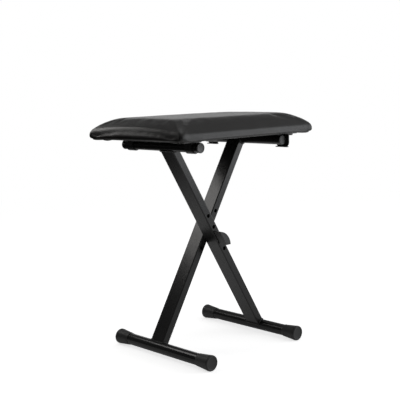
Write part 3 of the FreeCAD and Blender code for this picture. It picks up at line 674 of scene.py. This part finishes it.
def pleat(name, side_x, side_y):
    """A flap laid on the cushion's skin, found by rays from outside the corner."""
    way = Vector((side_x, side_y, 0)).normalized()
    rings = []
    for row in range(pleat_rows):
        rise = row / (pleat_rows - 1)
        height = base_height + pleat_foot + rise * pleat_rise
        fade = math.sqrt(max(0.0, 1 - rise**3))
        first = -pleat_reach * fade
        last = pleat_edge * (1 - 0.6 * rise)
        outside, inside = [], []
        for column in range(pleat_columns):
            share = column / (pleat_columns - 1)
            place = round_the_corner(first + share * (last - first))
            start = Vector((place.x * side_x, place.y * side_y + set_back, height)) + way * ray_run
            hit = cushion_skin.ray_cast(start, -way)[0]
            proud = pleat_depth * fade * math.sin(math.pi / 2 * share) if share < 1 else -pleat_root / 2
            outside.append(hit + way * (proud - pleat_sink))
            inside.append(hit - way * pleat_root)
        rings.append(outside + inside[::-1])
    return skin(name, rings)


for side_x, side_y, name in (
    (-1, -1, "front_left"),
    (1, -1, "front_right"),
    (-1, 1, "rear_left"),
    (1, 1, "rear_right"),
):
    fold = pleat(f"corner_pleat_{name}", side_x, side_y)
    dress(fold, "seat", vinyl)


# Hem: the vinyl turned under the board, gathered at the corners into small pleats that show as flaps
# below the edge, and stapled through the dust cover.
hem_outer = 4.5 * mm
hem_inner = 15.2 * mm
hem_thickness = 0.6 * mm
hem_lap = 0.3 * mm
hem_shares = (0, 0.15, 0.35, 0.6, 0.85, 1)
hem_steps = (250, 180, 12)
gather_depth = 2.6 * mm
loose_depth = 4.0 * mm
gather_pitch = 5.5 * mm
gather_reach = 34 * mm
loose_spots = (
    (-105 * mm, -half_width),
    (-half_length, 96 * mm),
    (128 * mm, -half_width),
    (60 * mm, half_width),
)
loose_spread = 7 * mm


def hem_ring():
    """Rings of the turned edge; it hangs lower at the corners' gathers and at the loose spots."""
    rings = []
    travelled = 0
    outer = cushion_ring(hem_outer, base_height, hem_steps)
    inner = cushion_ring(hem_inner, base_height, hem_steps)
    for number, point in enumerate(outer):
        nearest = inner[number]
        corner_x = math.copysign(half_length, point.x)
        corner_y = math.copysign(half_width, point.y)
        corner = Vector((corner_x, corner_y, base_height))
        gather = max(0.0, 1 - (corner - point).length / gather_reach)
        loose = 0.0
        for x, y in loose_spots:
            away = (point.x - x) ** 2 + (point.y - y) ** 2
            loose = max(loose, math.exp(-(away / loose_spread**2)))
        ripple = 0.5 + 0.5 * math.sin(2 * math.pi * travelled / gather_pitch)
        drop = gather_depth * math.sqrt(gather) * ripple + loose_depth * loose
        ring = []
        for share in hem_shares:
            place = point.lerp(nearest, share)
            hang = math.sin(math.pi * (0.15 + 0.85 * share)) * drop
            ring.append(place + Vector((0, set_back, -hem_thickness * min(1, 4 * share + 0.2) - hang)))
        top = [point.lerp(nearest, share) + Vector((0, set_back, hem_lap)) for share in (1, 0.5, 0)]
        rings.append(ring + top)
        travelled += (outer[(number + 1) % len(outer)] - point).length
    return rings


hem = skin("seat_hem", hem_ring(), endless=True)
dress(hem, "seat", vinyl)


# Dust cover: thin black non-woven cloth over the board and the hem, held by staples, a little slack
# between them.
dust_low, dust_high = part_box("dust_cover")
dust_pitch = 6 * mm
dust_slack = 0.25 * mm
dust_thickness = 0.35 * mm
sag_length = 30 * mm


def stretched_cloth(name):
    count_x = round((dust_high.x - dust_low.x) / dust_pitch)
    count_y = round((dust_high.y - dust_low.y) / dust_pitch)
    mesh = bpy.data.meshes.new(name)
    work = bmesh.new()
    bmesh.ops.create_grid(work, x_segments=count_x, y_segments=count_y, size=0.5)
    for vertex in work.verts:
        x = dust_low.x + (vertex.co.x + 0.5) * (dust_high.x - dust_low.x)
        y = dust_low.y + (vertex.co.y + 0.5) * (dust_high.y - dust_low.y)
        slack = (0.5 + 0.5 * noise.noise(Vector((x, y, 0)) / sag_length)) * dust_slack
        vertex.co = Vector((x, y, dust_high.z - slack))
    work.to_mesh(mesh)
    work.free()
    mesh.shade_smooth()
    piece = bpy.data.objects.new(name, mesh)
    bpy.context.scene.collection.objects.link(piece)
    modify(piece, "SOLIDIFY", thickness=dust_thickness, offset=-1.0)
    return piece


def felted_cloth(name):
    finish = new_finish(name)
    fibres = finish.mottle(900, 6)
    bonds = finish.node(
        "ShaderNodeTexVoronoi",
        {"feature": "F1"},
        {"Vector": finish.spot(), "Scale": 480.0, "Randomness": 0.15},
    )
    dimple = finish.step(bonds, 0.1, 0.4)
    return finish.surface(
        {
            "Base Color": finish.tint(fibres, grey(0.012), grey(0.03)),
            "Roughness": 0.85,
            "Normal": finish.relief(dimple * 0.7 + fibres * 0.3, 0.0002),
        }
    )


dust_cloth = stretched_cloth("dust_cover_cloth")
dress(dust_cloth, "seat", felted_cloth("non_woven_cloth"))
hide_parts("dust_cover")


# Seat hardware: pressed steel saddles that hinge the seat on the left tube, angle plates that hang
# beside the right tube and hook under it, and rubber pads where the seat bears on that tube.
bracket_black = powder_coat("bracket_paint", 0.34, 0.00008)
wear(bracket_black, "hinge_saddle_front", "hinge_saddle_rear", "rest_bracket_front", "rest_bracket_rear")
wear(moulded_rubber("pad_rubber"), "rest_pad_front", "rest_pad_rear")


# Stage: a pale floor that runs out into white for the camera. What the black finishes mirror is a dim
# room with a bright back and right, soft lamps, and a floor with a painted glow and, towards the back
# left, painted shade.
floor_radius = 14.0
floor_white = (1.1, 2.6)
floor_lift = 0.70
# painted shade: how far towards the back left the floor's colour is darkened for rays other than the
# camera's
painted_shade_span = (0.25, 0.6)
# painted glow: how bright the floor glows for rays other than the camera's
painted_glow = 0.13
to_back_left = (-0.69, 0.72, 0)
lamp_aim = (0, 0, 0.3)
camera_place = Vector((-1.2717, -1.2889, 0.5699))
camera_heading = math.radians(44.23)
camera_dip = math.radians(7.87)
camera_roll = math.radians(-1.47)
sensor_width = 36.0
frame_pixels = 400
focal_pixels = 836.7


def lay_floor():
    """A floor disc; only camera rays see its lift and the white that it runs out into. Other rays see a
    painted glow on it and painted shade towards the back left.
    """
    mesh = bpy.data.meshes.new("floor")
    work = bmesh.new()
    bmesh.ops.create_circle(work, cap_ends=True, segments=96, radius=floor_radius)
    work.to_mesh(mesh)
    work.free()
    floor = bpy.data.objects.new("floor", mesh)
    bpy.context.scene.collection.objects.link(floor)
    finish = new_finish("studio_floor")
    distance = finish.node("ShaderNodeVectorMath", {"operation": "LENGTH"}, {0: finish.spot()}, "Value")
    far = finish.step(distance, *floor_white)
    side = finish.node(
        "ShaderNodeVectorMath",
        {"operation": "DOT_PRODUCT"},
        {0: finish.spot(), 1: to_back_left},
        "Value",
    )
    seen = finish.node("ShaderNodeLightPath", output="Is Camera Ray")
    # painted shade: for rays other than the camera's, the floor's colour turns near black towards the back
    # left
    painted_shade = finish.step(side, *painted_shade_span) * (1 - seen)
    # camera rays get the white lift; other rays get a painted glow, left out where the painted shade is
    lift = seen * floor_lift + (1 - seen) * (1 - painted_shade) * painted_glow
    pale = finish.tint(finish.mottle(3, 2), grey(0.80), grey(0.82))
    finish.surface(
        {
            "Base Color": finish.tint(painted_shade, pale, grey(0.04)),
            "Roughness": 0.9,
            "Specular IOR Level": 0.0,
            "Emission Color": finish.tint(lift, grey(0.0), grey(1.0)),
            "Emission Strength": 1.0,
        }
    )
    shader = finish.tree.nodes["Principled BSDF"]
    white = finish.node("ShaderNodeEmission", None, {"Color": grey(1.0)}, "Emission")
    mixed = finish.node(
        "ShaderNodeMixShader", None, {0: far * seen, 1: Wire(finish, shader.outputs[0]), 2: white}
    )
    finish.join(mixed, finish.tree.nodes["Material Output"].inputs["Surface"])
    mesh.materials.append(finish.owner)


def fill_room():
    """White for the camera; for light and mirrors, a bright back and right and a dim rest."""
    world = bpy.data.worlds.new("studio")
    bpy.context.scene.world = world
    finish = Finish(world)
    way = finish.node("ShaderNodeTexCoord", output="Generated")
    parts = {axis: finish.node("ShaderNodeSeparateXYZ", None, {0: way}, axis) for axis in "XYZ"}
    front_right = finish.step(parts["X"] * 0.70 - parts["Y"] * 0.71, 0.2, 0.9)
    low = 1 - finish.step(parts["Z"], 0.18, 0.5)
    back = finish.step(parts["X"] * 0.69 + parts["Y"] * 0.72, 0.4, 0.95) * low
    overhead = finish.step(parts["Z"], 0.5, 0.95)
    level = 0.09 + front_right * 0.40 + back * 1.3 + overhead * 0.32
    seen = finish.node("ShaderNodeLightPath", output="Is Camera Ray")
    brightness = seen + (1 - seen) * level
    background = finish.tree.nodes["Background"]
    background.inputs["Strength"].default_value = 1.0
    finish.join(finish.tint(brightness, grey(0.0), grey(1.0)), background.inputs["Color"])


def hang_lamp(name, place, width, height, radiance, colour=(1, 1, 1)):
    """A soft box; its power follows from its size and how bright its face is."""
    light = bpy.data.lights.new(name, "AREA")
    light.shape = "RECTANGLE"
    light.size = width
    light.size_y = height
    light.energy = radiance * math.pi * width * height
    light.color = colour
    lamp = bpy.data.objects.new(name, light)
    bpy.context.scene.collection.objects.link(lamp)
    lamp.location = place
    lamp.rotation_mode = "QUATERNION"
    lamp.rotation_quaternion = (Vector(lamp_aim) - Vector(place)).to_track_quat("-Z", "Y")
    lamp.visible_camera = False


def set_camera():
    camera = bpy.data.objects.new("camera", bpy.data.cameras.new("camera"))
    bpy.context.scene.collection.objects.link(camera)
    camera.data.sensor_width = sensor_width
    camera.data.lens = focal_pixels / frame_pixels * sensor_width
    camera.data.clip_start = 0.01
    camera.data.clip_end = 60.0
    level = math.cos(camera_dip)
    east, north = math.sin(camera_heading) * level, math.cos(camera_heading) * level
    forward = Vector((east, north, -math.sin(camera_dip)))
    right = forward.cross(Vector((0, 0, 1))).normalized()
    up = right.cross(forward)
    tilted_right = right * math.cos(camera_roll) + up * math.sin(camera_roll)
    tilted_up = up * math.cos(camera_roll) - right * math.sin(camera_roll)
    camera.rotation_mode = "QUATERNION"
    turn = camera.matrix_world.to_3x3()
    turn.col[0] = tilted_right
    turn.col[1] = tilted_up
    turn.col[2] = -forward
    camera.rotation_quaternion = turn.to_quaternion()
    camera.location = camera_place
    bpy.context.scene.camera = camera


lay_floor()
fill_room()
hang_lamp("overhead", (0.1, 0.1, 2.2), 1.2, 1.2, 0.9)
hang_lamp("front_right", (1.5, -1.5, 0.75), 1.4, 1.3, 2.0, (0.95, 0.97, 1.0))
hang_lamp("back_left", (-0.34, 0.59, 0.73), 0.30, 0.27, 3.8, (1.0, 0.98, 0.96))
set_camera()
bpy.context.scene.view_settings.view_transform = "Standard"
